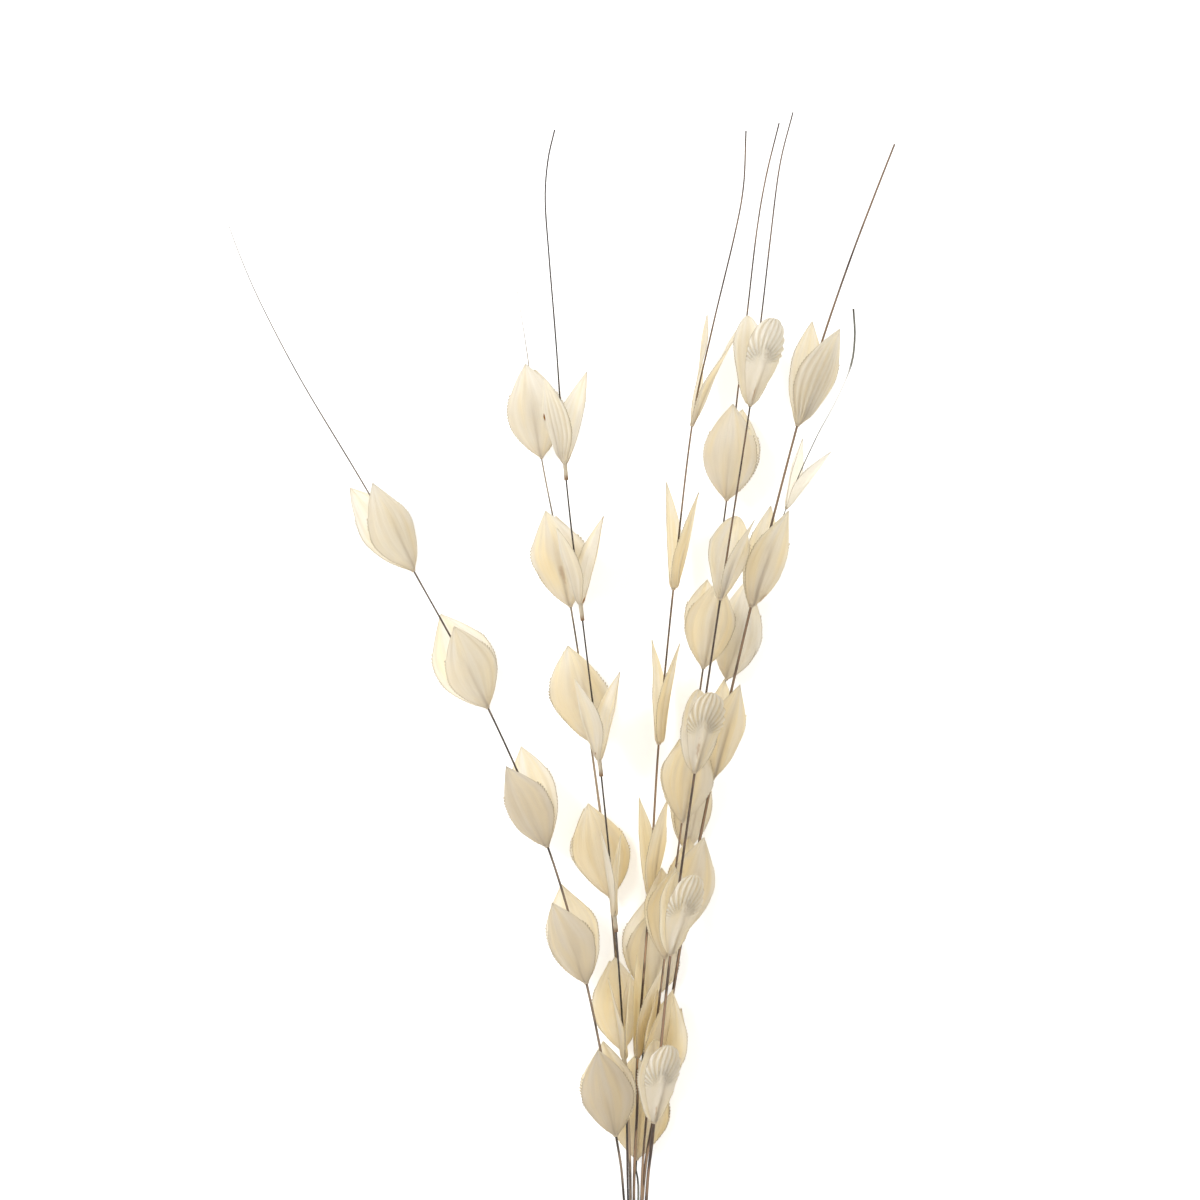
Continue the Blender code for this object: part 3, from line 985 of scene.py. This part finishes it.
def valve_point(pod, valve, ring, across, level):
    """A point in the middle of a valve's wall, with its relief, and its groove: the painted shade and
    highlight there.
    """
    share = LEVELS[level]
    seed = valve.seed
    roll, outward, sideways = facing(pod, valve, share)
    turn = math.radians(pod.lean + valve.side * pod.spread * math.sin(roll))
    rise = math.radians(valve.side * pod.spread * math.cos(roll) * PRESSED)
    opened = 0.6 * share + 0.4 * share**2
    middle = valve.length * Vector((math.tan(turn) * opened, share, math.tan(rise) * opened))
    round_left = math.exp(-share / OPENING)
    trough = math.radians(valve.outline.trough + (90 - valve.outline.trough) * round_left)
    wide = half_width(valve.outline, valve.length, ring, share)
    wander = 1 + EDGE_WANDER * across * drift(seed + 4, 2 * share)
    wander += WIDTH_WANDER * drift(seed + 8, 4 * share)
    tooth = tooth_at(valve, across, level)
    radius = wide * wander / math.sin(trough) + tooth / math.sin(trough)
    middle += Vector((0, 0.5 * tooth, 0))
    along_arc = sideways * math.sin(trough * across)
    out_of_arc = outward * (math.cos(trough * across) - math.cos(trough))
    height, groove = relief_at(valve, wide, across, share)
    bent = TIP_BEND * valve.length * share**3
    lean = sideways * bent * drift(seed + 6, 2.5) + outward * bent * drift(seed + 7, 2.5)
    normal = outward * math.cos(trough * across) + sideways * math.sin(trough * across)
    lifted = smoothstep(0.0, 0.12, share)
    point = middle + lean + radius * (along_arc + out_of_arc) + normal * height * lifted
    return point, groove


def stem_shade(pod, valve, share, point, stick):
    """How much of the light behind it the stem keeps from a place on an upper valve, 0..1: a painted
    shadow.
    """
    if valve.side < 0:
        return 0.0
    outward, sideways = facing(pod, valve, share)[1:]
    gap = max(stick, abs(point.dot(outward)))
    spread = stick + 0.12 * (gap - stick)
    kept = math.sqrt(stick / gap) * (1 - smoothstep(0.35, 0.85, share))
    return kept * math.exp(-((point.dot(sideways) / spread) ** 2))


# %% [markdown]
# ## Marks and colours of the pods
# No two pods have aged alike. Some are stained brown or torn in a slit, some are bleached, and some
# are dull, with painted shade on their upper valves; they turn yellower down each stem. The marks
# could come from noise as well, but it wouldn't put them on the right pods, so they are listed.

# %% Stains, slits and tones
PLEATED = ("pod_3a", "pod_7a")

# Stains and slits by pod and side. A place is across, -1 at the left edge to 1 at the right, and
# up, 0 at the collar to 1 at the tip; wide and tall are half a stain's size in the same terms.
Stain = namedtuple("Stain", "across up wide tall strength")
Slit = namedtuple("Slit", "across low high")
STAINS = {
    ("pod_2b", 1): [Stain(0.06, 0.33, 0.07, 0.09, 0.28)],
    ("pod_3a", 1): [Stain(-0.75, 0.55, 0.24, 0.04, 1.0), Stain(-0.8, 0.42, 0.1, 0.02, 0.9)],
    ("pod_3b", -1): [Stain(0.9, 0.05, 0.4, 0.03, 0.8), Stain(0.0, 0.98, 0.6, 0.02, 0.5)],
    ("pod_3c", 1): [Stain(0.3, 0.09, 0.08, 0.016, 0.7)],
    ("pod_6a", 1): [Stain(-0.25, 0.12, 0.08, 0.09, 0.45)],
    ("pod_6c", 1): [Stain(-0.35, 0.28, 0.06, 0.10, 0.35)],
    ("pod_6e", 1): [Stain(-0.3, 0.15, 0.07, 0.08, 0.4)],
    ("pod_7b", 1): [Stain(0.8, 0.1, 0.2, 0.06, 0.3)],
}
SLITS = {
    ("pod_6d", 1): Slit(0.62, 0.0, 0.36),
    ("pod_7a", 1): Slit(0.80, 0.34, 0.60),
    ("pod_5a", 1): Slit(0.93, 0.69, 0.76),
}

# How much paler some pods are, and how much darker the upper valves of others are, by painted shade
# together with a duller colour.
BLEACHED_PODS = {"pod_2e": 0.3, "pod_6a": 0.25, "pod_6d": 0.2, "pod_6e": 0.3, "pod_8a": 1.1}
DULL_AND_SHADED_PODS = {
    "pod_1b": 0.05,
    "pod_1c": 0.28,
    "pod_1d": 0.18,
    "pod_1e": 0.3,
    "pod_5a": 0.14,
    "pod_6b": 0.08,
    "pod_7a": 0.05,
}

# How yellow the pod nearest the tip of each stem is, and how much yellower each one below it is.
YELLOWNESS = {1: 0.1, 2: 0.3, 3: 0.1, 4: 0.5, 5: 0.45, 6: 0.1, 7: 0.35, 8: 0.1}
YELLOWER_EACH = 0.13

# Every collar's tone, a short collar's stain, and a long one's stain at its foot and how far up
# it reaches.
COLLAR_TONE = 0.5
COLLAR_STAIN = 0.1
FOOT_STAIN = 0.7
FOOT_STAIN_HEIGHT = 0.005


def stain_at(stains, seed, across, up):
    """The strength of the strongest stain at a place, with a ragged edge."""
    found = 0.0
    for spot in stains:
        away = math.hypot((across - spot.across) / spot.wide, (up - spot.up) / spot.tall)
        ragged = 1 + 0.5 * drift(seed, 9 * across, 30 * up)
        found = max(found, spot.strength * (1 - smoothstep(0.5, 1.3, away * ragged)))
    return found


def collar_stain(collar, height):
    if collar == COLLAR:
        return COLLAR_STAIN
    return FOOT_STAIN * (1 - smoothstep(0.0, FOOT_STAIN_HEIGHT, height))


print(len(STAINS), "stained valves,", len(SLITS), "slits")

# %% [markdown]
# ## Modelling a husk
# Each pod's husk is one sheet: a ring round the stem, extruded into a short collar, and then each
# half of the ring extruded row by row into a valve. Rows stand a third of a tooth apart along the
# serrated part of the edge, and columns stand closer together near the edges. A subdivided plane
# bent with modifiers could give the valves but not the closed collar.

# %% Husks
# Columns to a valve, and rows to a collar.
COLUMNS, SHELL_COLUMNS = 28, 40
COLLAR_ROWS, LONG_COLLAR_ROWS = 2, 12

# From the stem's surface to the middle of the collar's wall.
RING_GAP = 0.0007

# V on a collar is measured in this length, and runs up to 0 where the valves start.
USUAL_LENGTH = 0.07

# Half the width of a slit, times the number of columns.
HALF_SLIT = 1.8

Layers = namedtuple("Layers", "share tone stain shade groove")


def place_across(index, side, columns):
    """From edge to edge of a valve, with its columns closer together near the edges."""
    even = 1 - 2 * index / columns if side > 0 else 2 * (index or 2 * columns) / columns - 3
    return 0.6 * even + 0.4 * math.sin(math.pi / 2 * even)


def tear(sheet, faces, slit, columns, place_of):
    """Deletes the faces of a valve that lie in its slit."""
    torn = []
    for face in faces:
        places = [place_of(corner) for corner in face.verts]
        across = sum(place[0] for place in places) / len(places)
        up = sum(place[1] for place in places) / len(places)
        if abs(across - slit.across) < HALF_SLIT / columns and slit.low < up < slit.high:
            torn.append(face)
    bmesh.ops.delete(sheet, geom=torn, context="FACES")


def map_husk(sheet, part, station, share, columns):
    """A UV map: U from edge to edge of a valve or once round the collar, and V the share."""
    layer = sheet.loops.layers.uv.new("husk")
    for face in sheet.faces:
        side = face[part]
        for loop in face.loops:
            index = loop.vert[station]
            on_valve = 0.5 + 0.5 * place_across(index, side, columns)
            around = on_valve if side else index / (2 * columns)
            if loop.vert[share] == 1.0:
                around = 0.5
            loop[layer].uv = (around, loop.vert[share])


def husk_mesh(name, pod, valves, collar, stick, columns, yellow):
    """A collar and two valves as one sheet in the pod's own frame: +Y is along the stem."""
    ring = stick + RING_GAP
    sheet = bmesh.new()
    station = sheet.verts.layers.int.new("station")
    held = Layers(*(sheet.verts.layers.float.new(title) for title in Layers._fields))
    part = sheet.faces.layers.int.new("part")
    corners = bmesh.ops.create_circle(sheet, segments=2 * columns, radius=ring)["verts"]

    def on_collar(corner, height):
        valve = valves[0 if corner[station] <= columns else 1]
        across = place_across(corner[station], valve.side, columns)
        point = valve_point(pod, valve, ring, across, 0)[0]
        wrinkle = 1 + 0.25 * drift(valve.seed, 3 * across, 400 * height) * (height > 0)
        corner.co = Vector((wrinkle * point.x, point.y + height, wrinkle * point.z))
        corner[held.share] = (height - collar) / USUAL_LENGTH
        corner[held.tone] = COLLAR_TONE
        corner[held.stain] = collar_stain(collar, height)

    for index, corner in enumerate(corners):
        corner[station] = index
        on_collar(corner, 0.0)
    rim = list(sheet.edges)
    rows = COLLAR_ROWS if collar == COLLAR else LONG_COLLAR_ROWS
    for row in range(1, rows + 1):
        rim = grow(sheet, rim, lambda corner: on_collar(corner, collar * row / rows))
    for valve in valves:
        own = [0, *range(columns, 2 * columns)] if valve.side < 0 else list(range(columns + 1))
        edges = [edge for edge in rim if all(corner[station] in own for corner in edge.verts)]
        before = set(sheet.faces)
        # Upper valves are a little greyer and less yellow than under ones, partly their own colour
        # and partly painted shade.
        valve_tone = yellow - 0.1 * valve.side + 0.2 * drift(valve.seed, 3.3)
        stains = STAINS.get((name, valve.side), ())

        def on_valve(corner, level):
            across = place_across(corner[station], valve.side, columns)
            corner.co, groove = valve_point(pod, valve, ring, across, level)
            shadow = stem_shade(pod, valve, LEVELS[level], corner.co, stick)
            corner.co.y += collar
            # The groove paints shade and highlights; bleached pods lower it towards the pale crest
            # colour.
            corner[held.groove] = groove
            corner[held.groove] -= BLEACHED_PODS.get(name, 0)
            # The stronger of the stem's painted shadow and, on some upper valves, painted shade with
            # a duller colour.
            corner[held.shade] = max(shadow, DULL_AND_SHADED_PODS.get(name, 0) * (valve.side > 0))
            corner[held.share] = LEVELS[level]
            corner[held.tone] = valve_tone
            corner[held.stain] = stain_at(stains, valve.seed, across, LEVELS[level])

        for level in range(1, len(LEVELS)):
            edges = grow(sheet, edges, lambda corner: on_valve(corner, level))
        # A set has no fixed order, so the tip is sorted, with the valve's middle corner first.
        middle = columns // 2 if valve.side > 0 else 3 * columns // 2
        tip = sorted(
            {corner for edge in edges for corner in edge.verts},
            key=lambda corner: (corner[station] != middle, corner[station]),
        )
        bmesh.ops.pointmerge(sheet, verts=tip, merge_co=tip[0].co)

        def place_of(corner):
            return place_across(corner[station], valve.side, columns), corner[held.share]

        own_faces = [face for face in sheet.faces if face not in before]
        for face in own_faces:
            face[part] = valve.side
        if (name, valve.side) in SLITS:
            tear(sheet, own_faces, SLITS[name, valve.side], columns, place_of)
    bmesh.ops.recalc_face_normals(sheet, faces=sheet.faces)
    map_husk(sheet, part, station, held.share, columns)
    return sheet


# %% [markdown]
# ## Putting the husks round their stems
# Each husk is turned to follow its stem and set where its solid has it, and a Solidify modifier
# gives the sheet its thickness. Modelling both faces of the wall would allow a varying thickness,
# but the wall is too thin for that to show.

# %% Pods
def add_husk(number, letter, pod, stem, straight):
    """Puts a pod round its stem and gives its walls their thickness."""
    name = f"pod_{number}{letter}"
    place, direction = place_at(straight, pod.base)
    order = "abcde".index(letter)
    seed = 20 * number + 3 * order
    valves = [
        Valve(1, pod.upper, pod.shapes[0], pod.twists[0], seed, name in PLEATED),
        Valve(-1, pod.under, pod.shapes[1], pod.twists[1], seed + 1, False),
    ]
    columns = SHELL_COLUMNS if SHELL in pod.shapes else COLUMNS
    stick = stem_radius(stem, pod.base)
    yellow = YELLOWNESS[number] + YELLOWER_EACH * order
    sheet = husk_mesh(name, pod, valves, stem.collar, stick, columns, yellow)
    pitch = Matrix.Rotation(math.asin(direction.z), 4, "X")
    heading = Matrix.Rotation(-math.atan2(direction.x, direction.y), 4, "Z")
    bmesh.ops.transform(sheet, verts=sheet.verts, matrix=Matrix.Translation(place) @ heading @ pitch)
    mesh = finish_mesh(f"husk_{number}{letter}", sheet)
    piece = place_piece(f"husk_{number}{letter}", mesh, HUSK, name, "pale_pod")
    walls = piece.modifiers.new("walls", "SOLIDIFY")
    walls.thickness = HUSK_THICKNESS
    walls.offset = 0.0
    return len(mesh.polygons)


for number, stem in STEMS.items():
    straight = pod_places(stem)
    faces = [
        add_husk(number, letter, pod, stem, straight) for letter, pod in zip("abcde", stem.pods)
    ]
    print(f"husks of stem {number}:", sum(faces), "faces before thickening")

# %% [markdown]
# ## Finish
# The view layer is brought up to date once more.

# %% Finish
bpy.context.view_layer.update()
